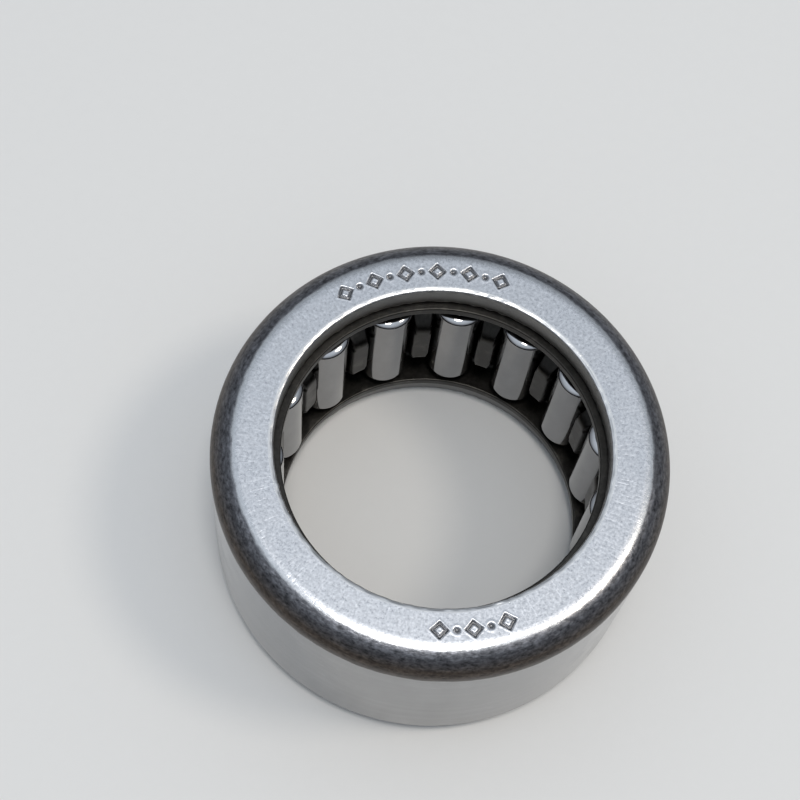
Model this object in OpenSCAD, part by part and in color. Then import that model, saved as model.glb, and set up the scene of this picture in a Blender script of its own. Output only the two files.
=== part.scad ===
// Needle roller bearing, drawn cup type, open at both ends.
// The origin is the bearing's centre, +Z runs along its axis and the stamped lip faces +Z.

/* [Bearing] */
// Diameter of the shaft that runs on the rollers
shaft_d = 15; // [15:0.001:15.02]
// Outside diameter of the drawn cup
outer_d = 22; // [21.9:0.05:22.2]
// Width across both lips
width = 12; // [11.6:0.2:12.4]

/* [Drawn cup] */
// Diameter of the opening in each lip
lip_bore_d = 16; // [15.8:0.1:16.2]
// Thickness of the stamped lip, left by the deep draw
drawn_lip_t = 1.3; // [1.2:0.05:1.4]
// Thickness of the other lip, curled in after the rollers are fitted
curled_lip_t = 1.2; // [1.1:0.05:1.3]
// Radius of the outside corner at the stamped lip
drawn_corner_r = 1.45; // [1.2:0.05:1.5]
// Radius of the outside corner at the curled lip
curled_corner_r = 1.5; // [1.2:0.05:1.6]
// Radius of the inside corners between the raceway and the lips
inner_corner_r = 0.35; // [0.2:0.05:0.4]
// Rounding of the lip edges around the opening
lip_edge_r = 0.12; // [0.05:0.01:0.2]

/* [Rollers] */
// How many needle rollers
roller_count = 15; // [12:1:15]
// Diameter of a roller
roller_d = 2.5; // [2.48:0.01:2.5]
// Length of a roller
roller_l = 6.8; // [6:0.1:6.8]
// Radius of the gentle rounding at the rim of a roller's flat ends
roller_shoulder_r = 0.8; // [0.6:0.05:1]
// Angle through which that rounding falls away
roller_shoulder_fall = 32; // [20:1:40]
// Radius of the tighter edge between that rounding and the roller's side
roller_edge_r = 0.17; // [0.1:0.01:0.2]
// Gap between the rollers and the raceway when the rollers touch the shaft
radial_play = 0.03; // [0.02:0.01:0.04]

/* [Cage] */
// Thickness of the cage's sheet
cage_t = 0.5; // [0.4:0.05:0.5]
// Inside radius of the cage's sunken middle
cage_mid_r = 7.85; // [7.8:0.05:7.9]
// Outside radius of the cage's raised ends
cage_end_r = 9.8; // [9.7:0.05:9.8]
// Inside radius of the cage's end flanges
cage_flange_r = 7.65; // [7.6:0.05:7.8]
// Half length of the sunken middle
cage_mid_half = 1.75; // [1.7:0.05:1.8]
// Half length at which the sheet reaches its raised ends
cage_rise_half = 2.85; // [2.8:0.05:2.9]
// Gap between the cage and the stamped lip
cage_play = 0.1; // [0.1:0.02:0.14]
// Width of a pocket across the sunken middle, narrower than a roller so that none falls inwards
pocket_mouth_w = 2.44; // [2.42:0.01:2.45]
// Width of a pocket across the raised ends
pocket_w = 2.58; // [2.58:0.01:2.62]
// Gap between a roller's end and its pocket
pocket_end_play = 0.1; // [0.06:0.02:0.12]
// Rounding of a pocket's corners
pocket_corner_r = 0.25; // [0.15:0.05:0.3]

/* [Stamped marks] */
// Depth of the stamped marks
mark_depth = 0.12; // [0.06:0.02:0.16]
// Distance from the flat face's outer edge to the ring that the marks stand on
mark_inset = 0.5; // [0.48:0.02:0.6]
// Half diagonal of a lozenge mark
lozenge_half = 0.44; // [0.3:0.02:0.44]
// Width of a lozenge's stroke
lozenge_stroke = 0.16; // [0.12:0.02:0.18]
// Radius of a dot mark
dot_r = 0.2; // [0.15:0.05:0.25]
// Angle between neighbouring marks
mark_pitch = 5; // [5:0.5:5.5]
// How many marks in the long group
long_group_count = 11; // [9:2:11]
// How many marks in the short group
short_group_count = 5; // [3:2:5]
// Direction of the long group's middle
long_group_angle = 110; // [0:5:180]
// Direction of the short group's middle
short_group_angle = -68; // [-90:1:-20]

/* [Hidden] */
$fn = 180;
outer_r = outer_d / 2;
top_z = width / 2;
lip_bore_r = lip_bore_d / 2;
roller_r = roller_d / 2;
pitch_r = shaft_d / 2 + roller_r;
raceway_r = pitch_r + roller_r + radial_play;
cavity_top_z = top_z - drawn_lip_t;
cavity_bottom_z = curled_lip_t - top_z;
cage_half = cavity_top_z - cage_play;
pocket_half = roller_l / 2 + pocket_end_play;
bend_r = 0.2;
bend_steps = 4;
cage_mid_outer_r = cage_mid_r + cage_t;
cage_end_inner_r = cage_end_r - cage_t;
slope_angle = atan2(cage_end_inner_r - cage_mid_r, cage_rise_half - cage_mid_half);
half_bend = tan(slope_angle / 2);
// The sheet starts to rise sooner on its outer side, by one thickness measured around the bend
mouth_half = cage_mid_half - (cage_t + bend_r) * half_bend - 0.05;
mid_bend = [cage_mid_outer_r + bend_r, cage_mid_half - (cage_t + bend_r) * half_bend];
rise_bend = [cage_end_inner_r - bend_r, cage_rise_half + bend_r * half_bend];
flange_bend = [cage_end_inner_r - bend_r, cage_half - cage_t - bend_r];
mark_ring_r = outer_r - drawn_corner_r - mark_inset;
dot_ball_r = (dot_r * dot_r + mark_depth * mark_depth) / (2 * mark_depth);
spare = 1;

function roller_name(i) = str("needle_roller_", i < 10 ? "0" : "", i);
// Points along an arc; its first point is skipped where it would repeat the outline's last one
function arc(centre, r, from, to, skipped = 0) =
    [for (i = [skipped:bend_steps])
        let (angle = from + (to - from) * i / bend_steps)
        centre + r * [cos(angle), sin(angle)]];
// An outline's upper half followed by the same points below the X axis, backwards
function mirrored(upper) = concat(upper, [for (i = [len(upper) - 1:-1:0]) [upper[i].x, -upper[i].y]]);

// What a corner at the origin loses when it is rounded, for a shape that lies towards +X and +Y
module corner_waste(r) {
    difference() {
        translate([-spare, -spare]) square(r + spare);
        translate([r, r]) circle(r);
    }
}

// Half section of the roomy channel between the lips, in which the rollers and cage run
module cavity_section() {
    difference() {
        translate([lip_bore_r - spare, cavity_bottom_z])
            square([raceway_r - lip_bore_r + spare, cavity_top_z - cavity_bottom_z]);
        translate([raceway_r, cavity_bottom_z]) mirror([1, 0]) corner_waste(inner_corner_r);
        translate([raceway_r, cavity_top_z]) rotate(180) corner_waste(inner_corner_r);
    }
}

module cup_section() {
    difference() {
        translate([lip_bore_r, -top_z]) square([outer_r - lip_bore_r, width]);
        cavity_section();
        translate([outer_r, -top_z]) mirror([1, 0]) corner_waste(curled_corner_r);
        translate([outer_r, top_z]) rotate(180) corner_waste(drawn_corner_r);
        for (z = [-top_z, cavity_top_z]) translate([lip_bore_r, z]) corner_waste(lip_edge_r);
        for (z = [cavity_bottom_z, top_z]) translate([lip_bore_r, z]) mirror([0, 1]) corner_waste(lip_edge_r);
    }
}

// A hollow diamond, stamped with its foot at the origin's height less the mark's depth
module lozenge_stamp() {
    side = lozenge_half * sqrt(2);
    rotate(45) translate([0, 0, -mark_depth]) linear_extrude(mark_depth + spare) difference() {
        square(side, center = true);
        square(side - 2 * lozenge_stroke, center = true);
    }
}

// A round dimple left by a ball-ended punch
module dot_stamp() {
    translate([0, 0, dot_ball_r - mark_depth]) sphere(dot_ball_r);
}

// Lozenges and dots in turn, evenly spaced about one direction
module mark_group(count, middle_angle) {
    first = middle_angle - (count - 1) / 2 * mark_pitch;
    for (i = [0:2:count - 1]) mark_place(first + i * mark_pitch) lozenge_stamp();
    for (i = [1:2:count - 1]) mark_place(first + i * mark_pitch) dot_stamp();
}

module mark_place(angle) {
    rotate(angle) translate([mark_ring_r, 0, top_z]) children();
}

// The drawn steel cup: raceway wall, stamped lip and curled-in lip in one sheet
module drawn_cup_shell() {
    color([0.72, 0.72, 0.71]) difference() {
        rotate_extrude() cup_section();
        mark_group(long_group_count, long_group_angle);
        mark_group(short_group_count, short_group_angle);
    }
}

// Outline of the cage's upper half section: up the side that faces the cup, then down the inner side
function cage_half_outline() = concat(
    arc(mid_bend, bend_r, 180, 180 - slope_angle),
    arc(rise_bend, bend_r + cage_t, -slope_angle, 0),
    arc(flange_bend, bend_r + cage_t, 0, 90),
    [[cage_flange_r, cage_half], [cage_flange_r, cage_half - cage_t]],
    arc(flange_bend, bend_r, 90, 0),
    arc(rise_bend, bend_r, 0, -slope_angle),
    arc(mid_bend, bend_r + cage_t, 180 - slope_angle, 180));

// Full half section of the cage: sunken middle, slopes, raised ends and end flanges
module cage_section() {
    polygon(mirrored(cage_half_outline()));
}

// Outline of a pocket as seen from the axis, with the cage's axis along X
module pocket_outline() {
    guide = (pocket_w - pocket_mouth_w) / 2;
    difference() {
        translate([-pocket_half, -pocket_w / 2]) square([2 * pocket_half, pocket_w]);
        for (sx = [0, 1], sy = [0, 1])
            mirror([sx, 0]) mirror([0, sy]) {
                translate([-pocket_half, -pocket_w / 2]) corner_waste(pocket_corner_r);
                translate([-mouth_half, -pocket_w / 2 - spare]) square([mouth_half, guide + spare]);
            }
    }
}

// The pressed sheet cage, with one pocket for each roller
module roller_cage() {
    color([0.25, 0.24, 0.23]) difference() {
        rotate_extrude() cage_section();
        for (i = [1:roller_count])
            rotate((i - 1) * 360 / roller_count) translate([cage_flange_r - spare, 0, 0]) rotate([0, 90, 0])
                linear_extrude(outer_r - cage_flange_r) pocket_outline();
    }
}

// Outline of a roller's upper half section: flat end, rounded shoulder, then the edge down to the side
function roller_half_outline() =
    let (
        fall = roller_shoulder_fall,
        reach = roller_shoulder_r - roller_edge_r,
        shoulder = [roller_r - roller_edge_r - reach * sin(fall), roller_l / 2 - roller_shoulder_r],
        edge = shoulder + reach * [sin(fall), cos(fall)]
    )
    concat(
        [[0, roller_l / 2]],
        arc(shoulder, roller_shoulder_r, 90, 90 - fall),
        arc(edge, roller_edge_r, 90 - fall, 0, skipped = 1));

// One needle roller, standing at its place on the pitch circle
module needle_roller(i) {
    color([0.82, 0.82, 0.84]) rotate((i - 1) * 360 / roller_count) translate([pitch_r, 0, 0])
        rotate_extrude() polygon(mirrored(roller_half_outline()));
}

drawn_cup_shell();
roller_cage();
for (i = [1:roller_count])
    needle_roller(i);
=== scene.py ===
"""Needle roller bearing: fine meshes, steel materials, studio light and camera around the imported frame.

Shapes are worked out in millimetres, in the frame's own axes, and become metres when a mesh is made.
"""

import math
from types import SimpleNamespace

import bmesh
import bpy
import numpy as np
from mathutils import Matrix, Vector


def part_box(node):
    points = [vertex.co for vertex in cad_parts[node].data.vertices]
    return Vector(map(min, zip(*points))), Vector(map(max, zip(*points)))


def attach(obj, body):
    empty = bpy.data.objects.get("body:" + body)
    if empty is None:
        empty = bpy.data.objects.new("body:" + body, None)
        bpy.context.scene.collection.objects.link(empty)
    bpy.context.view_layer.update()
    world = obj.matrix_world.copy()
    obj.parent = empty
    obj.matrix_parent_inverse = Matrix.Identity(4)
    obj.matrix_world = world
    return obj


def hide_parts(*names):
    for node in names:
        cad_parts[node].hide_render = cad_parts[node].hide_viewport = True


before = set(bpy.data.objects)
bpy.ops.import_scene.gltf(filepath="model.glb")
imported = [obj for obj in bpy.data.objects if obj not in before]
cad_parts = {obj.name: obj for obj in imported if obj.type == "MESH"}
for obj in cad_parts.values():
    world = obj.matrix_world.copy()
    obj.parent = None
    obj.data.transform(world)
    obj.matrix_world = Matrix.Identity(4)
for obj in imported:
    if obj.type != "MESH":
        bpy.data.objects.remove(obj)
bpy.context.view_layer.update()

MM = 0.001
MERGE_GAP = 0.0004 * MM
SEED = 12


def node_box(node):
    """A node's lowest and highest corner, in millimetres."""
    return [np.array(corner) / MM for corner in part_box(node)]


# ---- Sizes in millimetres, taken from the frame where it has them ----
# FALL, STEP and MARK_PITCH are angles in degrees, and PITCH_TURN is in radians.

cup_low, cup_high = node_box("drawn_cup_shell")
cage_low, cage_high = node_box("roller_cage")
roller_low, roller_high = node_box("needle_roller_01")

OUTER_R = min(*cup_high[:2], *-cup_low[:2])
TOP_Z = cup_high[2]
PITCH_R = (roller_low[0] + roller_high[0]) / 2
ROLLER_R = (roller_high[0] - roller_low[0]) / 2
ROLLER_HALF = (roller_high[2] - roller_low[2]) / 2
ROLLER_COUNT = sum(name.startswith("needle_roller_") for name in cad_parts)
ROLLER_SHOULDER_R = 0.8
ROLLER_SHOULDER_FALL = 32.0
ROLLER_EDGE_R = 0.17
ROLLER_STEP = 5
END_DEPTH = 0.3
NOISE_SPACING = 100.0

LIP_BORE_R = 8.0
RACEWAY_R = 10.03
DRAWN_LIP_T = 1.3
CURLED_LIP_T = 1.2
DRAWN_CORNER_R = 1.45
CURLED_CORNER_R = 1.5
INNER_CORNER_R = 0.35
LIP_EDGE_R = 0.12
ROLLOVER_R = 0.36
ROLLOVER_FALL = 28.0
ROLLOVER_DEPTH = 0.5
CUP_STEP = 1.25

BURR_H = 0.018
BURR_RANGE = (-0.6, 1.6)
BURR_FEWEST_WAVES = 12
BURR_MOST_WAVES = 90
BURR_LAYERS = 30

MARK_DEPTH = 0.1
MARK_RIDGE_H = 0.008
MARK_RING_R = OUTER_R - DRAWN_CORNER_R - 0.5
MARK_STEP = 0.24
MARK_PITCH = 5.0
MARK_GROUPS = ((11, 110.0), (5, -68.0))  # how many marks, and the angle of the middle one
LOZENGE_HALF = 0.44
LOZENGE_STROKE = 0.16
DOT_HALF = 0.15

# Parts of a stamped stroke, as multiples of its half width.
GROOVE_FLOOR = 0.3
GROOVE_TOP = 1.3
RIDGE_PLACE = 1.6
RIDGE_WIDTH = 0.45

CAGE_T = 0.5
CAGE_MID_R = 7.85
CAGE_END_R = min(*cage_high[:2], *-cage_low[:2])
CAGE_HALF = cage_high[2]
CAGE_FLANGE_R = 7.65
CAGE_MID_HALF = 1.75
CAGE_RISE_HALF = 2.85
CAGE_BEND_R = 0.2
CAGE_EDGE_R = 0.06
POCKET_HALF = ROLLER_HALF + 0.1
POCKET_HALF_W = 1.29
POCKET_MOUTH_HALF_W = 1.22
POCKET_CORNER_R = 0.25
MOUTH_INSET = 0.05
MOUTH_BLEND = 0.12
SIDE_FINE_FROM = 1.1
SIDE_FINE_TO = 2.95
BAR_COLUMNS = 6
PITCH_TURN = 2 * math.pi / ROLLER_COUNT

rng = np.random.default_rng(SEED)


# ---- Mesh building ----

class Section:
    """Half the section of a round piece, walked point by point as radius, height and facing.

    The facing is the way the surface faces, in degrees: 0 is outwards from the axis, 90 is up, 180 or -180
    is inwards and 270 or -90 is down. A walk that goes on turning comes to -270, which is up again.
    """

    def __init__(self):
        self.rows = []

    def line(self, start, end, facing, rows, even=False):
        """Points between two corners, without the corners, closer together near them unless even."""
        for i in range(rows):
            share = (i + 0.5) / rows
            if not even:
                share = (1 - math.cos(math.pi * share)) / 2
            r, z = np.array(start) * (1 - share) + np.array(end) * share
            self.rows.append((r, z, facing))

    def arc(self, centre, radius, start, end, steps, hollow=False):
        """A rounded corner between two facings. A hollow one is seen from its centre's side."""
        for facing in np.linspace(start, end, steps + 1):
            angle = math.radians(facing + 180 * hollow)
            r, z = centre[0] + radius * math.cos(angle), centre[1] + radius * math.sin(angle)
            self.rows.append((r, z, facing))

    def table(self):
        """The points so far, as an array."""
        return np.array(self.rows)


def path_length(points):
    """Distance walked to each point of an outline."""
    steps = np.hypot(*np.diff(points[:, :2], axis=0).T)
    return np.concatenate([[0], np.cumsum(steps)])


def grid_faces(rows, columns, closed_rows, closed_columns):
    """Quads of a grid of vertices numbered row by row."""
    firsts = np.arange(rows - (not closed_rows)), np.arange(columns - (not closed_columns))
    i, j = (index.ravel() for index in np.meshgrid(*firsts, indexing="ij"))
    below, beside = (i + 1) % rows, (j + 1) % columns
    corners = ((i, j), (i, beside), (below, beside), (below, j))
    return np.stack([row * columns + column for row, column in corners], axis=1)


def ring_angles(coarse_step, fine_step=None, fine_spans=()):
    """Angles all the way round in degrees, closer together within the given spans."""
    angles = set(np.round(np.arange(0, 360, coarse_step), 4))
    for low, high in fine_spans:
        angles = {a for a in angles if not low <= a <= high and not low <= a - 360 <= high}
        angles |= {round(a % 360, 4) for a in np.arange(low, high, fine_step)}
    return np.radians(sorted(angles))


def at_angle(r, angle, z):
    """Points at a radius from the axis, an angle round it and a height."""
    r, angle, z = np.broadcast_arrays(r, angle, z)
    return np.stack([r * np.cos(angle), r * np.sin(angle), z], axis=-1)


def make_object(name, points, faces, material, merge=False):
    """A smooth-shaded mesh object from points in millimetres. Merging joins points that coincide."""
    mesh = bpy.data.meshes.new(name)
    mesh.from_pydata((points.reshape(-1, 3) * MM).tolist(), [], faces.tolist())
    worked = bmesh.new()
    worked.from_mesh(mesh)
    if merge:
        bmesh.ops.remove_doubles(worked, verts=worked.verts, dist=MERGE_GAP)
    bmesh.ops.recalc_face_normals(worked, faces=worked.faces)
    worked.to_mesh(mesh)
    worked.free()
    mesh.materials.append(material)
    mesh.shade_smooth()
    piece = bpy.data.objects.new(name, mesh)
    bpy.context.scene.collection.objects.link(piece)
    return piece


def add_attribute(piece, name, values):
    """A value or a vector for every vertex, for the materials to read."""
    values = np.asarray(values, dtype=float)
    kind, key = ("FLOAT_VECTOR", "vector") if values.ndim == 2 else ("FLOAT", "value")
    layer = piece.data.attributes.new(name, kind, "POINT")
    layer.data.foreach_set(key, values.ravel())


def smooth_step(value, low, high):
    """0 below low, 1 above high, and a smooth rise between."""
    share = np.clip((value - low) / (high - low), 0, 1)
    return share * share * (3 - 2 * share)


def wobble(angles, fewest, most, layers):
    """An uneven, seeded wave round a circle, mostly between -1 and 1."""
    total = np.zeros_like(angles)
    for _ in range(layers):
        total += np.sin(rng.integers(fewest, most) * angles + rng.uniform(0, 2 * math.pi))
    return total / math.sqrt(layers)


# ---- Drawn cup ----

def cup_section():
    """The cup's closed half section, from the stamped lip round the outside and back through the raceway."""
    s = Section()
    face_z = TOP_Z - MARK_RIDGE_H
    edge_r = LIP_BORE_R + LIP_EDGE_R
    fall = math.radians(ROLLOVER_FALL)
    roll_r = edge_r + (ROLLOVER_R - LIP_EDGE_R) * math.sin(fall)
    edge_z = face_z - ROLLOVER_R + (ROLLOVER_R - LIP_EDGE_R) * math.cos(fall)
    drawn_r, curled_r = OUTER_R - DRAWN_CORNER_R, OUTER_R - CURLED_CORNER_R
    drawn_z, curled_z = face_z - DRAWN_CORNER_R, CURLED_CORNER_R - TOP_Z
    roof_z, floor_z = TOP_Z - DRAWN_LIP_T, CURLED_LIP_T - TOP_Z
    fillet_r = RACEWAY_R - INNER_CORNER_R
    s.line((roll_r, face_z), (drawn_r, face_z), 90, rows=42, even=True)
    s.arc((drawn_r, drawn_z), DRAWN_CORNER_R, 90, 0, steps=20)
    s.line((OUTER_R, drawn_z), (OUTER_R, curled_z), 0, rows=12)
    s.arc((curled_r, curled_z), CURLED_CORNER_R, 0, -90, steps=16)
    s.line((curled_r, -TOP_Z), (edge_r, -TOP_Z), -90, rows=8)
    s.arc((edge_r, LIP_EDGE_R - TOP_Z), LIP_EDGE_R, -90, -180, steps=5)
    s.line((LIP_BORE_R, LIP_EDGE_R - TOP_Z), (LIP_BORE_R, floor_z - LIP_EDGE_R), -180, rows=3)
    s.arc((edge_r, floor_z - LIP_EDGE_R), LIP_EDGE_R, -180, -270, steps=4)
    s.line((edge_r, floor_z), (fillet_r, floor_z), -270, rows=4)
    s.arc((fillet_r, floor_z + INNER_CORNER_R), INNER_CORNER_R, -270, -180, steps=5, hollow=True)
    s.line((RACEWAY_R, floor_z + INNER_CORNER_R), (RACEWAY_R, roof_z - INNER_CORNER_R), -180, rows=8)
    s.arc((fillet_r, roof_z - INNER_CORNER_R), INNER_CORNER_R, -180, -90, steps=5, hollow=True)
    s.line((fillet_r, roof_z), (edge_r, roof_z), -90, rows=4)
    s.arc((edge_r, roof_z + LIP_EDGE_R), LIP_EDGE_R, -90, -180, steps=4)
    s.line((LIP_BORE_R, roof_z + LIP_EDGE_R), (LIP_BORE_R, edge_z), -180, rows=3)
    s.arc((edge_r, edge_z), LIP_EDGE_R, -180, ROLLOVER_FALL - 270, steps=4)
    s.arc((roll_r, face_z - ROLLOVER_R), ROLLOVER_R, ROLLOVER_FALL - 270, -270, steps=6)
    return s.table()


def stroke(distance, half_width):
    """A stamped stroke's depth share, and how far it moves the face: down, with a slight ridge beside it."""
    groove = 1 - smooth_step(distance, GROOVE_FLOOR * half_width, GROOVE_TOP * half_width)
    from_ridge = (distance - RIDGE_PLACE * half_width) / (RIDGE_WIDTH * half_width)
    return groove, MARK_RIDGE_H * np.exp(-from_ridge ** 2) - MARK_DEPTH * groove


def stamp_marks(r, angle):
    """Depth share and height of the stamped lozenges and dots at points of the lip, 0 away from them."""
    grooves, heights = np.zeros_like(r), np.zeros_like(r)
    lozenge_middle = LOZENGE_HALF - LOZENGE_STROKE / math.sqrt(2)
    along = r - MARK_RING_R
    for count, middle in MARK_GROUPS:
        for i in range(count):
            at = math.radians(middle + (i - (count - 1) / 2) * MARK_PITCH)
            across = MARK_RING_R * ((angle - at + math.pi) % (2 * math.pi) - math.pi)
            if i % 2 == 0:
                distance = abs(abs(along) + abs(across) - lozenge_middle) / math.sqrt(2)
                groove, height = stroke(distance, LOZENGE_STROKE / 2)
            else:
                groove, height = stroke(np.hypot(along, across), DOT_HALF)
            grooves, heights = grooves + groove, heights + height
    return grooves, heights


def cup_angles():
    """Angles round the cup, closer together where the marks are."""
    spans = []
    for count, middle in MARK_GROUPS:
        half = (count + 1) / 2 * MARK_PITCH
        spans.append((middle - half, middle + half))
    return ring_angles(CUP_STEP, MARK_STEP, spans)


def raise_burr(r, z, facing, angles, on_edge):
    """The lips' edges pushed out and in unevenly, as the press leaves them, and never past the cup's ends."""
    waves = wobble(angles, BURR_FEWEST_WAVES, BURR_MOST_WAVES, BURR_LAYERS)
    burr = BURR_H * np.clip(waves, *BURR_RANGE) * on_edge
    lean = np.radians(facing)
    return r + burr * np.cos(lean), np.clip(z + burr * np.sin(lean), -TOP_Z, TOP_Z)


def build_cup(material):
    """The drawn cup, with its stamped marks and the uneven burr round its openings."""
    section, angles = cup_section(), cup_angles()
    r, angle = np.meshgrid(section[:, 0], angles, indexing="ij")
    z, facing, path = (np.repeat(column[:, None], len(angles), axis=1)
                       for column in (section[:, 1], section[:, 2], path_length(section)))

    on_lip = (facing == 90) & (z > 0)
    groove, height = stamp_marks(r, angle)
    z = z + height * on_lip
    on_edge = (r < LIP_BORE_R + LIP_EDGE_R) & (np.abs(facing + 180) < 90) & (facing != -180)
    r, z = raise_burr(r, z, facing, angles, on_edge)
    cup = make_object("drawn_cup", at_angle(r, angle, z), grid_faces(*r.shape, True, True), material)

    lip_end = path[np.argmax(facing[:, 0] < 90), 0]
    rolled = (facing < -180) & (z > TOP_Z - ROLLOVER_DEPTH)
    add_attribute(cup, "ring", at_angle(OUTER_R, angle, path).reshape(-1, 3) * MM)
    add_attribute(cup, "from_lip", np.where(rolled, path - path.max(), path - lip_end).ravel())
    # The stamp grooves' share, which the material darkens as painted shade.
    add_attribute(cup, "stamp_shade", (groove * on_lip).ravel())
    add_attribute(cup, "inside", ((facing < -90) & ~rolled).ravel())
    add_attribute(cup, "edge", (on_edge | rolled).ravel())
    return cup


# ---- Needle rollers ----

def roller_section():
    """A roller's half section, from the middle of its upper end, over both shoulders, to its lower end."""
    s = Section()
    fall = math.radians(ROLLER_SHOULDER_FALL)
    edge_r = ROLLER_R - ROLLER_EDGE_R
    shoulder_r = edge_r - (ROLLER_SHOULDER_R - ROLLER_EDGE_R) * math.sin(fall)
    shoulder_z = ROLLER_HALF - ROLLER_SHOULDER_R
    edge_z = shoulder_z + (ROLLER_SHOULDER_R - ROLLER_EDGE_R) * math.cos(fall)
    s.rows.append((0.0, ROLLER_HALF, 90))
    s.line((0, ROLLER_HALF), (shoulder_r, ROLLER_HALF), 90, rows=3)
    s.arc((shoulder_r, shoulder_z), ROLLER_SHOULDER_R, 90, 90 - ROLLER_SHOULDER_FALL, steps=8)
    s.arc((edge_r, edge_z), ROLLER_EDGE_R, 90 - ROLLER_SHOULDER_FALL, 0, steps=5)
    s.line((ROLLER_R, edge_z), (ROLLER_R, 0), 0, rows=5)
    upper = s.table()
    return np.concatenate([upper, upper[::-1] * (1, -1, -1)])


def build_roller(index, material):
    """One needle roller, turned round its own axis by a seeded angle so that no two look alike."""
    section = roller_section()
    angles = ring_angles(ROLLER_STEP) + rng.uniform(0, 2 * math.pi)
    r, angle = np.meshgrid(section[:, 0], angles, indexing="ij")
    z = np.repeat(section[:, 1:2], len(angles), axis=1)
    centre = at_angle(PITCH_R, PITCH_TURN * index, 0.0)
    name, points = f"needle_{index + 1:02d}", at_angle(r, angle, z) + centre
    roller = make_object(name, points, grid_faces(*r.shape, False, True), material, merge=True)

    own = np.array([vertex.co for vertex in roller.data.vertices]) - centre * MM
    from_middle = np.abs(own[:, 2]) / MM
    end_face = smooth_step(from_middle, ROLLER_HALF - END_DEPTH, ROLLER_HALF - END_DEPTH / 2)
    add_attribute(roller, "own_place", own + (0, 0, index * NOISE_SPACING * MM))
    add_attribute(roller, "end_face", end_face)
    return roller


# ---- Cage ----

SLOPE = math.atan2(CAGE_END_R - CAGE_T - CAGE_MID_R, CAGE_RISE_HALF - CAGE_MID_HALF)
HALF_BEND = math.tan(SLOPE / 2)
MID_BEND = (CAGE_MID_R + CAGE_T + CAGE_BEND_R, CAGE_MID_HALF - (CAGE_T + CAGE_BEND_R) * HALF_BEND)
RISE_BEND = (CAGE_END_R - CAGE_T - CAGE_BEND_R, CAGE_RISE_HALF + CAGE_BEND_R * HALF_BEND)
FLANGE_BEND = (CAGE_END_R - CAGE_T - CAGE_BEND_R, CAGE_HALF - CAGE_T - CAGE_BEND_R)
MOUTH_HALF = MID_BEND[1] - MOUTH_INSET


def sheet_side(mid_bend_r, rise_bend_r, mid_r, end_r):
    """Heights and radii along one side of the cage's sheet, from the middle plane up to its raised end."""
    s = Section()
    s.rows.append((mid_r, 0.0, 0))
    s.arc(MID_BEND, mid_bend_r, 180, 180 - math.degrees(SLOPE), steps=8)
    s.arc(RISE_BEND, rise_bend_r, -math.degrees(SLOPE), 0, steps=8)
    s.rows.append((end_r, FLANGE_BEND[1], 0))
    return s.table()


OUTER_SIDE = sheet_side(CAGE_BEND_R, CAGE_BEND_R + CAGE_T, CAGE_MID_R + CAGE_T, CAGE_END_R)
INNER_SIDE = sheet_side(CAGE_BEND_R + CAGE_T, CAGE_BEND_R, CAGE_MID_R, CAGE_END_R - CAGE_T)


def side_radius(side, z):
    """The radius of one side of the sheet at a height."""
    return np.interp(z, side[:, 1], side[:, 0])


def pocket_half_width(z):
    """Half the width of a pocket's straight side: narrow across the sunken middle, wider beyond it."""
    widening = smooth_step(z, MOUTH_HALF - MOUTH_BLEND, MOUTH_HALF)
    return POCKET_MOUTH_HALF_W + (POCKET_HALF_W - POCKET_MOUTH_HALF_W) * widening


def pocket_outline():
    """A quarter of a pocket's outline as y, z and outward normal, and how many points come before its end.

    It goes up one side, with more points over the sheet's bends, then round the corner and along the end.
    """
    corner_y, corner_z = POCKET_HALF_W - POCKET_CORNER_R, POCKET_HALF - POCKET_CORNER_R
    side_z = np.concatenate([np.linspace(0, SIDE_FINE_FROM, 7, endpoint=False),
                             np.linspace(SIDE_FINE_FROM, SIDE_FINE_TO, 26, endpoint=False),
                             np.linspace(SIDE_FINE_TO, corner_z, 4, endpoint=False)])
    side = [(pocket_half_width(z), z, 1.0, 0.0) for z in side_z]
    corner = [(corner_y + POCKET_CORNER_R * math.cos(a), corner_z + POCKET_CORNER_R * math.sin(a),
               math.cos(a), math.sin(a)) for a in np.linspace(0, math.pi / 2, 8)]
    end = [(y, POCKET_HALF, 0.0, 1.0) for y in np.linspace(corner_y, 0, 6)[1:]]
    return np.array(side + corner + end), len(side) + len(corner)


def pocket_loops(outline):
    """The outline at each depth through the sheet, with its cut edges rounded on both sides."""
    y, z, normal_y, normal_z = outline.T
    rounding = [(CAGE_EDGE_R * (1 - math.sin(a)), CAGE_EDGE_R * (1 - math.cos(a)))
                for a in np.linspace(0, math.pi / 2, 4)]
    loops = []
    for side, way_in, steps in ((OUTER_SIDE, -1, rounding), (INNER_SIDE, 1, rounding[::-1])):
        for out, depth in steps:
            at_z = z + normal_z * out
            loops.append((y + normal_y * out, at_z, side_radius(side, at_z) + way_in * depth))
    return loops


def turned(r, y, z):
    """Points at radius r from the axis and at y across from the pocket's middle plane."""
    return np.stack([np.sqrt(r * r - y * y), y, z], axis=-1)


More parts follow.
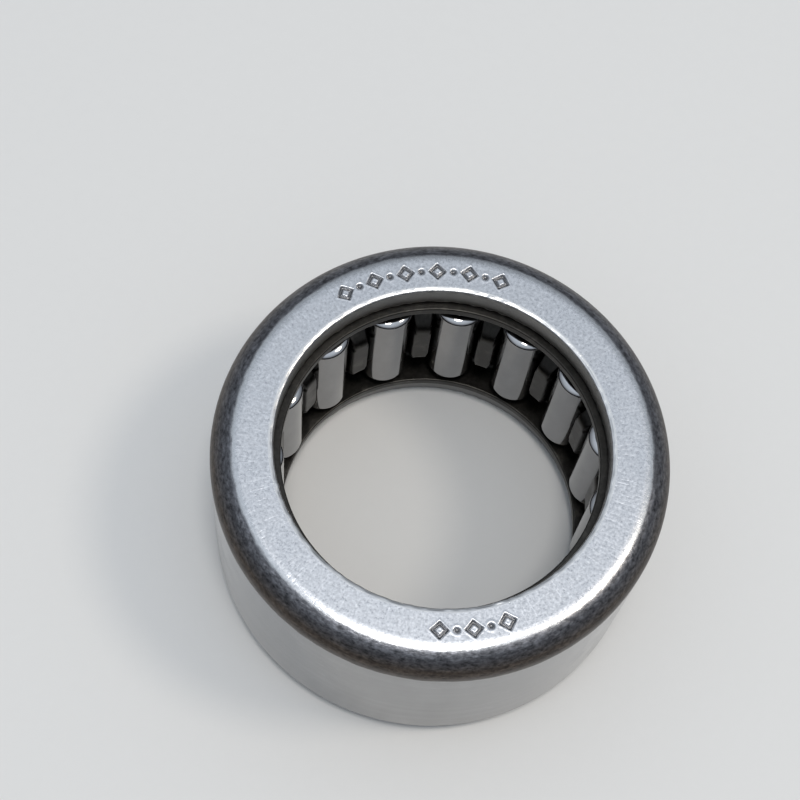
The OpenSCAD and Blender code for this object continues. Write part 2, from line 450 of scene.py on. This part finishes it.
def flange_section():
    """The cage's outline above the pockets: up the outside, over the flange and back down the inside."""
    s = Section()
    ring_z = POCKET_HALF + CAGE_EDGE_R
    tip_r = CAGE_FLANGE_R + CAGE_EDGE_R
    tip_top, tip_low = CAGE_HALF - CAGE_EDGE_R, CAGE_HALF - CAGE_T + CAGE_EDGE_R
    s.rows.append((CAGE_END_R, ring_z, 0))
    s.line((CAGE_END_R, ring_z), (CAGE_END_R, FLANGE_BEND[1]), 0, rows=3)
    s.arc(FLANGE_BEND, CAGE_BEND_R + CAGE_T, 0, 90, steps=9)
    s.line((FLANGE_BEND[0], CAGE_HALF), (tip_r, CAGE_HALF), 90, rows=5)
    s.arc((tip_r, tip_top), CAGE_EDGE_R, 90, 180, steps=3)
    s.line((CAGE_FLANGE_R, tip_top), (CAGE_FLANGE_R, tip_low), 180, rows=2)
    s.arc((tip_r, tip_low), CAGE_EDGE_R, 180, 270, steps=3)
    s.line((tip_r, CAGE_HALF - CAGE_T), (FLANGE_BEND[0], CAGE_HALF - CAGE_T), 270, rows=5)
    s.arc(FLANGE_BEND, CAGE_BEND_R, 270, 180, steps=4, hollow=True)
    s.line((CAGE_END_R - CAGE_T, FLANGE_BEND[1]), (CAGE_END_R - CAGE_T, ring_z), 180, rows=3)
    s.rows.append((CAGE_END_R - CAGE_T, ring_z, 180))
    return s.table()


def ring_patch(end_y, shares):
    """The ring above the pockets, from one pocket's middle to the next, with the pocket end's own columns."""
    section = flange_section()
    r = section[:, 0, None]
    near = np.arcsin(end_y / r)
    bar = near[:, -1:] + (PITCH_TURN - 2 * near[:, -1:]) * shares[1:-1]
    columns = np.concatenate([near, bar, PITCH_TURN - near[:, ::-1]], axis=1)
    return at_angle(r, columns, section[:, 1, None])


def cage_patches():
    """Grids of points for the upper half of one pitch: two pocket walls, a bar's two faces, and the ring."""
    outline, before_end = pocket_outline()
    near_wall = np.stack([turned(r, y, z) for y, z, r in pocket_loops(outline)])
    angle = np.arctan2(near_wall[..., 1], near_wall[..., 0])
    radius = np.hypot(near_wall[..., 0], near_wall[..., 1])
    patches = [near_wall, at_angle(radius, PITCH_TURN - angle, near_wall[..., 2])]
    shares = np.linspace(0, 1, BAR_COLUMNS + 1)
    for face in (0, -1):
        r, first, z = (grid[face, :before_end, None] for grid in (radius, angle, near_wall[..., 2]))
        patches.append(at_angle(r, first + (PITCH_TURN - 2 * first) * shares, z))
    patches.append(ring_patch(outline[before_end - 1:, 0][::-1], shares))
    return patches


def build_cage(material):
    """The pressed cage: the upper half of one pitch, mirrored down and repeated all the way round."""
    points, faces, count = [], [], 0
    patches = cage_patches()
    for step in range(ROLLER_COUNT):
        turn = np.array(Matrix.Rotation(PITCH_TURN * step, 3, "Z"))
        for side in (1, -1):
            for patch in patches:
                grid = grid_faces(*patch.shape[:2], False, False)
                points.append((patch.reshape(-1, 3) * (1, 1, side)) @ turn.T)
                faces.append(grid[:, ::side] + count)
                count += len(points[-1])
    return make_object("pressed_cage", np.concatenate(points), np.concatenate(faces), material, merge=True)


# ---- Materials ----

def set_stops(ramp, stops):
    """Fills a colour ramp. A stop's colour is a grey level or three numbers."""
    elements = ramp.elements
    while len(elements) < len(stops):
        elements.new(0.5)
    for element, (place, colour) in zip(elements, stops):
        element.position = place
        element.color = (*colour, 1) if isinstance(colour, tuple) else (colour, colour, colour, 1)


NOISE_LOW = 0.3
NOISE_HIGH = 0.7


class Material:
    """A Principled material with short ways to add the nodes that drive it."""

    def __init__(self, name, **fixed):
        self.material = bpy.data.materials.new(name)
        self.material.use_nodes = True
        self.tree = self.material.node_tree
        self.shader = self.tree.nodes["Principled BSDF"]
        for socket, value in fixed.items():
            self.shader.inputs[socket.replace("_", " ")].default_value = value
        self.place = self.add("ShaderNodeTexCoord").outputs["Object"]

    def add(self, kind, inputs=(), **settings):
        """A new node, with values or links for its inputs."""
        node = self.tree.nodes.new(kind)
        for key, value in settings.items():
            setattr(node, key, value)
        for key, value in dict(inputs).items():
            self.put(node.inputs[key], value)
        return node

    def put(self, socket, value):
        """Links another node's output to a socket, or sets the socket's own value."""
        if isinstance(value, bpy.types.NodeSocket):
            self.tree.links.new(value, socket)
        else:
            socket.default_value = value

    def drive(self, socket, value):
        """Puts a value or a link on one of the shader's sockets."""
        self.put(self.shader.inputs[socket], value)

    def attribute(self, name, vector=False):
        """A value that the mesh holds for each vertex."""
        return self.add("ShaderNodeAttribute", attribute_name=name).outputs["Vector" if vector else "Fac"]

    def noise(self, place, along, across=None, detail=4, roughness=0.55):
        """Noise with so many features per millimetre, along x and y, and across them along z."""
        across = along if across is None else across
        scales = (along / MM, along / MM, across / MM)
        scaled = self.add("ShaderNodeVectorMath", {0: place, 1: scales}, operation="MULTIPLY").outputs[0]
        settings = {"Vector": scaled, "Scale": 1.0, "Detail": detail, "Roughness": roughness}
        return self.add("ShaderNodeTexNoise", settings).outputs["Fac"]

    def fit(self, value, low, high, to_low=0.0, to_high=1.0):
        """Carries a value from one range to another, kept within it."""
        sockets = {"Value": value, "From Min": low, "From Max": high, "To Min": to_low, "To Max": to_high}
        return self.add("ShaderNodeMapRange", sockets).outputs["Result"]

    def spread(self, noise, to_low, to_high):
        """Carries most of a noise's range to another range, kept within it."""
        return self.fit(noise, NOISE_LOW, NOISE_HIGH, to_low, to_high)

    def centred(self, noise):
        """A noise moved to lie evenly about 0."""
        return self.math("SUBTRACT", noise, 0.5)

    def math(self, operation, a, b, c=0.0):
        """What a Math node makes of two values, or of three for MULTIPLY_ADD."""
        return self.add("ShaderNodeMath", {0: a, 1: b, 2: c}, operation=operation).outputs[0]

    def ramp(self, value, stops):
        """A colour for each place along a value."""
        node = self.add("ShaderNodeValToRGB", {"Fac": value})
        set_stops(node.color_ramp, stops)
        return node.outputs["Color"]

    def tint(self, colour, amount):
        """A colour made lighter or darker by a factor."""
        return self.add("ShaderNodeVectorMath", {0: colour, "Scale": amount}, operation="SCALE").outputs[0]

    def blend(self, a, b, share):
        """A colour that goes from a to b as the share goes from 0 to 1."""
        mix = self.add("ShaderNodeMix", {0: share, 6: a, 7: b}, data_type="RGBA")
        return mix.outputs[2]

    def bump(self, height_mm):
        """Raises the surface by a height in millimetres."""
        node = self.add("ShaderNodeBump", {"Height": height_mm, "Distance": MM, "Strength": 1.0})
        self.drive("Normal", node.outputs["Normal"])


# Colours, as linear red, green and blue.
LIP_STEEL = (0.60, 0.61, 0.635)
WORN_STEEL = (0.63, 0.64, 0.655)
# The drawn corner: blued and browned heat tint, made much darker than the steel itself as painted shade,
# darkest in the browned part lower down.
BLUED_SHADED_STEEL = (0.16, 0.163, 0.177)
BROWNED_DEEP_SHADED_STEEL = (0.056, 0.045, 0.038)
GROUND_STEEL = (0.28, 0.28, 0.285)
# Painted shade: the curled corner at the cup's foot is coloured dark for the shadow where the cup meets the
# floor.
CURLED_SHADED_STEEL = (0.14, 0.128, 0.12)
BACK_STEEL = (0.50, 0.50, 0.505)
BORE_STEEL = (0.24, 0.24, 0.24)
# Painted highlight: the openings' burred and rolled edges are coloured paler than the lip so that they shine
# as a white line.
BURR_HIGHLIGHT_STEEL = (0.70, 0.70, 0.70)
# Painted shade: the stamped grooves are coloured darker than the lip.
GROOVE_SHADE_STEEL = (0.17, 0.17, 0.175)
NEEDLE_STEEL = (0.30, 0.30, 0.305)
# Painted highlight: the roller ends are coloured paler than the sides, so that they shine white.
NEEDLE_END_HIGHLIGHT_STEEL = (0.55, 0.55, 0.56)
# Phosphate-dark cage colours, darkened further as painted shade for the cage's place under the lip; the
# rubbed spots are wear.
CAGE_PHOSPHATE_AND_SHADE = (0.042, 0.040, 0.037)
RUBBED_CAGE_STEEL = (0.085, 0.08, 0.072)
FLOOR_CARD = (0.80, 0.80, 0.79)

# Where the cup's finish changes, in millimetres down its outside from the stamped lip's outer edge.
FINISH_START = -1.0
DRAWN_FROM = 0.30
# The next two mark where the drawn corner's painted shade deepens, from the blued grey to the browned
# near-black.
BLUED_SHADE_TO = 0.7
DEEP_SHADE_FROM = 1.45
DRAWN_TO = DRAWN_CORNER_R * math.pi / 2 + 0.1
CURLED_FROM = DRAWN_CORNER_R * math.pi / 2 + 2 * TOP_Z - DRAWN_CORNER_R - CURLED_CORNER_R - 0.15
CURLED_TO = CURLED_FROM + CURLED_CORNER_R * math.pi / 2
FINISH_END = CURLED_TO + 1.0
FINISH_WANDER = 0.35

# Roughness of the polished wall, and what other places add to it.
WALL_ROUGHNESS = 0.14
FLAT_ADDS = 0.17
CORNER_ADDS = 0.24
BORE_ADDS = 0.06
LEAST_ROUGHNESS = 0.06

# Heights of the surfaces' fine relief, in millimetres.
LIP_RELIEF = 0.006
CORNER_RELIEF = 0.016
WALL_RELIEF = 0.0008
NEEDLE_RELIEF = 0.0004
CAGE_RELIEF = 0.005
FLOOR_RELIEF = 0.01


def finish_share(distance):
    """A distance down the cup's outside as a share of the range that the finish covers."""
    return (distance - FINISH_START) / (FINISH_END - FINISH_START)


def finish_stops(*stops):
    """Ramp stops from distances down the cup's outside."""
    return [(finish_share(distance), value) for distance, value in stops]


def cup_noises(m):
    """The cup's noises. Those on the ring run round the cup, and the rest through the metal."""
    ring = m.attribute("ring", vector=True)
    return SimpleNamespace(
        grain=m.noise(m.place, 6.5, detail=4, roughness=0.75),
        clouds=m.noise(m.place, 0.6, detail=3),
        radial=m.noise(ring, 9.0, 0.9, detail=2, roughness=0.6),
        streaks=m.noise(ring, 1.0, 4.0, detail=5, roughness=0.65),
        speckle=m.noise(ring, 3.5, 7.0, detail=4, roughness=0.7),
        ground=m.noise(ring, 0.12, 22.0, detail=2),
        bands=m.noise(ring, 0.05, 3.2, detail=5, roughness=0.7),
        smears=m.noise(ring, 0.7, 0.35, detail=4, roughness=0.6),
        nicks=m.noise(ring, 1.1, 5.5, detail=3, roughness=0.7))


def cup_places(m, noises):
    """How far down the outside each point is, and where each finish lies, as shares from 0 to 1."""
    from_lip = m.attribute("from_lip")
    wandering = m.math("MULTIPLY_ADD", m.centred(noises.streaks), FINISH_WANDER, from_lip)
    down = m.fit(wandering, FINISH_START, FINISH_END)
    wall = m.fit(down, finish_share(DRAWN_TO - 0.1), finish_share(DRAWN_TO + 0.1))
    return SimpleNamespace(
        down=down,
        wall=wall,
        flat=m.ramp(m.fit(from_lip, FINISH_START, FINISH_END), finish_stops(
            (0.0, 1.0), (0.4, 0.0), (CURLED_TO - 0.2, 0.0), (CURLED_TO, 1.0))),
        corner=m.ramp(down, finish_stops(
            (DRAWN_FROM - 0.1, 0.0), (DRAWN_FROM + 0.2, 1.0), (DRAWN_TO - 0.05, 1.0), (DRAWN_TO + 0.05, 0.0),
            (CURLED_FROM, 0.0), (CURLED_FROM + 0.4, 0.7), (CURLED_TO - 0.4, 0.7), (CURLED_TO, 0.0))),
        bore=m.attribute("inside"),
        # The edge mask places the painted highlight on the openings' edges.
        edge=m.attribute("edge"),
        # The groove mask places painted shade in the stamped marks.
        groove=m.fit(m.attribute("stamp_shade"), 0.25, 0.9),
        scratch=m.fit(noises.radial, 0.58, 0.70),
        score=m.math("MULTIPLY", m.fit(noises.nicks, 0.66, 0.72), wall))


def cup_colour(m, noises, places):
    """Bright lip; corners blued near the lip and browned below, darkened downwards by painted shade; grey
    ground wall; a lower corner darkened by painted shade; openings' edges paler as a painted highlight; stamp
    grooves darker as painted shade; and a paler back.
    """
    # The drawn corner's stops are heat tint with painted shade that deepens down the corner; the curled
    # corner's stop is painted shade at the cup's foot.
    colour = m.ramp(places.down, finish_stops(
        (0.0, LIP_STEEL), (DRAWN_FROM - 0.05, WORN_STEEL), (DRAWN_FROM + 0.07, BLUED_SHADED_STEEL),
        (BLUED_SHADE_TO, BLUED_SHADED_STEEL), (DEEP_SHADE_FROM, BROWNED_DEEP_SHADED_STEEL), (DRAWN_TO - 0.05, BROWNED_DEEP_SHADED_STEEL),
        (DRAWN_TO + 0.05, GROUND_STEEL), (CURLED_FROM, GROUND_STEEL), (CURLED_FROM + 0.3, CURLED_SHADED_STEEL),
        (CURLED_TO - 0.4, CURLED_SHADED_STEEL), (CURLED_TO, BACK_STEEL)))
    lip = m.math("MULTIPLY_ADD", places.scratch, 0.14, m.spread(noises.grain, 0.72, 1.28))
    mottle = m.fit(noises.speckle, 0.33, 0.68, 0.40, 1.75)
    corner = m.math("MULTIPLY", mottle, m.spread(noises.streaks, 0.7, 1.35))
    wall = m.math("MULTIPLY", m.spread(noises.bands, 0.90, 1.10), m.spread(noises.ground, 0.95, 1.05))
    wall = m.math("MULTIPLY", wall, m.fit(noises.smears, 0.35, 0.65, 0.86, 1.06))
    shades = ((lip, places.flat), (corner, places.corner), (wall, places.wall), (1.5, places.score))
    for shade, share in shades:
        colour = m.blend(colour, m.tint(colour, shade), share)
    # Bore colour, then the painted highlight on the edges and the painted shade in the stamp grooves.
    for steel, share in ((BORE_STEEL, places.bore), (BURR_HIGHLIGHT_STEEL, places.edge), (GROOVE_SHADE_STEEL, places.groove)):
        colour = m.blend(colour, (*steel, 1), share)
    return colour


def cup_roughness(m, noises, places):
    """Polished wall, satin ends, rough corners, all a little uneven."""
    rough = m.math("MULTIPLY_ADD", places.flat, FLAT_ADDS, WALL_ROUGHNESS)
    rough = m.math("MULTIPLY_ADD", places.corner, CORNER_ADDS, rough)
    rough = m.math("MULTIPLY_ADD", m.centred(noises.grain), m.math("MULTIPLY", places.flat, 0.25), rough)
    rough = m.math("MULTIPLY_ADD", m.centred(noises.clouds), 0.08, rough)
    rough = m.math("MULTIPLY_ADD", m.math("MULTIPLY", m.centred(noises.smears), places.wall), 0.30, rough)
    rough = m.math("MULTIPLY_ADD", places.bore, BORE_ADDS, rough)
    return m.math("MAXIMUM", rough, LEAST_ROUGHNESS)


def cup_relief(m, noises, places):
    """Pits and scratches on the lip, mottled corners, and fine lines and scores round the wall."""
    lip = m.math("MULTIPLY_ADD", places.scratch, -0.3, noises.grain)
    wall = m.math("MULTIPLY_ADD", places.score, -0.6, noises.ground)
    lip = m.math("MULTIPLY", lip, m.math("MULTIPLY", places.flat, LIP_RELIEF))
    corner = m.math("MULTIPLY", noises.speckle, m.math("MULTIPLY", places.corner, CORNER_RELIEF))
    wall = m.math("MULTIPLY", wall, m.math("MULTIPLY", places.wall, WALL_RELIEF))
    return m.math("ADD", m.math("ADD", lip, corner), wall)


def cup_material():
    """Satin stamped lip, rough heat-coloured corners with painted shade darkening them downwards, ground and
    polished wall.
    """
    m = Material("cup_steel", Metallic=1.0)
    noises = cup_noises(m)
    places = cup_places(m, noises)
    m.drive("Base Color", cup_colour(m, noises, places))
    m.drive("Roughness", cup_roughness(m, noises, places))
    m.bump(cup_relief(m, noises, places))
    return m.material


def roller_material():
    """Hard, ground and polished bearing steel, with lines round the roller and slightly duller ends that are
    coloured paler as a painted highlight.
    """
    m = Material("roller_steel", Metallic=1.0)
    place, end_face = m.attribute("own_place", vector=True), m.attribute("end_face")
    lines = m.noise(place, 0.3, 22.0, detail=3)
    smears = m.noise(place, 1.2, 0.6, detail=3)
    # The ends take the paler colour, a painted highlight.
    steel = m.blend((*NEEDLE_STEEL, 1), (*NEEDLE_END_HIGHLIGHT_STEEL, 1), end_face)
    m.drive("Base Color", m.tint(steel, m.spread(smears, 0.90, 1.05)))
    m.drive("Roughness", m.math("MULTIPLY_ADD", end_face, 0.02, m.spread(smears, 0.07, 0.13)))
    m.bump(m.math("MULTIPLY", lines, NEEDLE_RELIEF))
    return m.material


def cage_material():
    """Dark phosphated sheet, made darker still as painted shade, semi-gloss with an oily film and paler
    rubbed spots.
    """
    m = Material("cage_steel", Metallic=1.0)
    grain = m.noise(m.place, 6.0, detail=5, roughness=0.65)
    patches = m.noise(m.place, 0.9, detail=4)
    steel = m.blend((*CAGE_PHOSPHATE_AND_SHADE, 1), (*RUBBED_CAGE_STEEL, 1), m.fit(patches, 0.55, 0.72))
    m.drive("Base Color", m.tint(steel, m.spread(grain, 0.75, 1.2)))
    m.drive("Roughness", m.math("MULTIPLY_ADD", grain, 0.2, m.fit(patches, 0.35, 0.65, 0.30, 0.22)))
    m.bump(m.math("MULTIPLY", grain, CAGE_RELIEF))
    return m.material


def floor_material():
    """Pale matt card with a faint tooth."""
    m = Material("floor_card", Metallic=0.0)
    tooth = m.noise(m.place, 1.5, detail=3)
    m.drive("Base Color", m.tint(FLOOR_CARD, m.spread(tooth, 0.99, 1.0)))
    m.drive("Roughness", m.spread(tooth, 0.75, 0.85))
    m.bump(m.math("MULTIPLY", tooth, FLOOR_RELIEF))
    return m.material


# ---- Stage, light and camera ----

FLOOR_R = 900.0
FLOOR_RIM_SHARE = 0.6
FLOOR_RIM_H = 160.0
FLOOR_GAP = 0.01
FLOOR_STEP = 5


def build_floor(material):
    """A wide round floor whose rim sweeps up in a gentle curve, so that low views meet no hard horizon."""
    rim = FLOOR_R * (1 + np.linspace(0.05, FLOOR_RIM_SHARE, 12))
    radii = np.concatenate([np.linspace(0, FLOOR_R, 10), rim])
    r, angle = np.meshgrid(radii, ring_angles(FLOOR_STEP), indexing="ij")
    rise = FLOOR_RIM_H * smooth_step(r, FLOOR_R, FLOOR_R * (1 + FLOOR_RIM_SHARE))
    points = at_angle(r, angle, rise - TOP_Z - FLOOR_GAP)
    floor = make_object("floor", points, grid_faces(*r.shape, False, True), material, merge=True)


def add_light(name, direction, distance_mm, size_mm, power, colour):
    """A round soft light that shines on the bearing from a direction."""
    data = bpy.data.lights.new(name, "AREA")
    data.shape = "DISK"
    data.size = size_mm * MM
    data.energy = power
    data.color = colour
    lamp = bpy.data.objects.new(name, data)
    towards = Vector(direction).normalized()
    lamp.location = towards * distance_mm * MM
    lamp.rotation_mode = "QUATERNION"
    lamp.rotation_quaternion = towards.to_track_quat("Z", "Y")
    bpy.context.scene.collection.objects.link(lamp)


# The room's colour by height: 0 is level with the bearing and below, and 1 is straight above it.
SKY = ((0.0, (0.10, 0.10, 0.11)), (0.35, (0.17, 0.18, 0.20)), (0.64, (0.35, 0.38, 0.42)),
       (0.85, (0.63, 0.69, 0.76)), (0.95, (0.72, 0.79, 0.88)))


def light_room():
    """A room that is bright above and dim at the sides."""
    world = bpy.data.worlds.new("studio")
    world.use_nodes = True
    tree = world.node_tree
    direction = tree.nodes.new("ShaderNodeTexCoord").outputs["Generated"]
    split = tree.nodes.new("ShaderNodeSeparateXYZ")
    ramp = tree.nodes.new("ShaderNodeValToRGB")
    tree.links.new(direction, split.inputs[0])
    tree.links.new(split.outputs["Z"], ramp.inputs["Fac"])
    set_stops(ramp.color_ramp, SKY)
    tree.links.new(ramp.outputs["Color"], tree.nodes["Background"].inputs["Color"])
    bpy.context.scene.world = world


def light_scene():
    """An overhead lamp, a smaller warm lamp on the right, and the room round them."""
    add_light("overhead_lamp", direction=(0.04, -0.16, 1.0), distance_mm=450, size_mm=96, power=0.60,
              colour=(1.0, 0.965, 0.92))
    add_light("warm_side_lamp", direction=(0.50, 0.07, 0.86), distance_mm=420, size_mm=90, power=0.30,
              colour=(1.0, 0.90, 0.77))
    light_room()
    bpy.context.scene.view_settings.view_transform = "Standard"


# Millimetres and degrees. The azimuth is measured from the -Y side towards +X.
CAMERA_DISTANCE = 90.0
CAMERA_ELEVATION = 69.37
CAMERA_AZIMUTH = 1.23
CAMERA_ROLL = 8.93
CAMERA_AIM = (-2.753, 4.167, 0.0)
CAMERA_LENS = 80.8
CAMERA_SENSOR = 36.0


def build_camera():
    """The view from nearly overhead, rolled a little, with the bearing below and right of the middle."""
    data = bpy.data.cameras.new("view")
    data.lens = CAMERA_LENS
    data.sensor_width = CAMERA_SENSOR
    data.clip_start, data.clip_end = 0.01, 10.0
    camera = bpy.data.objects.new("view", data)
    a, e = math.radians(CAMERA_AZIMUTH), math.radians(CAMERA_ELEVATION)
    place = Vector((math.sin(a) * math.cos(e), -math.cos(a) * math.cos(e), math.sin(e))) * CAMERA_DISTANCE
    back = place - Vector(CAMERA_AIM)
    level = back.to_track_quat("Z", "Y").to_matrix()
    roll = Matrix.Rotation(math.radians(CAMERA_ROLL), 3, "Z")
    camera.matrix_world = Matrix.Translation(place * MM) @ (level @ roll).to_4x4()
    bpy.context.scene.collection.objects.link(camera)
    bpy.context.scene.camera = camera


# ---- The scene ----

build_camera()
light_scene()
build_floor(floor_material())

cup = build_cup(cup_material())
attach(cup, "shell")
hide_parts("drawn_cup_shell")

cage = build_cage(cage_material())
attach(cage, "cage")
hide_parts("roller_cage")

needle_steel = roller_material()
for index in range(ROLLER_COUNT):
    roller = build_roller(index, needle_steel)
    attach(roller, f"roller_{index + 1:02d}")
    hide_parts(f"needle_roller_{index + 1:02d}")
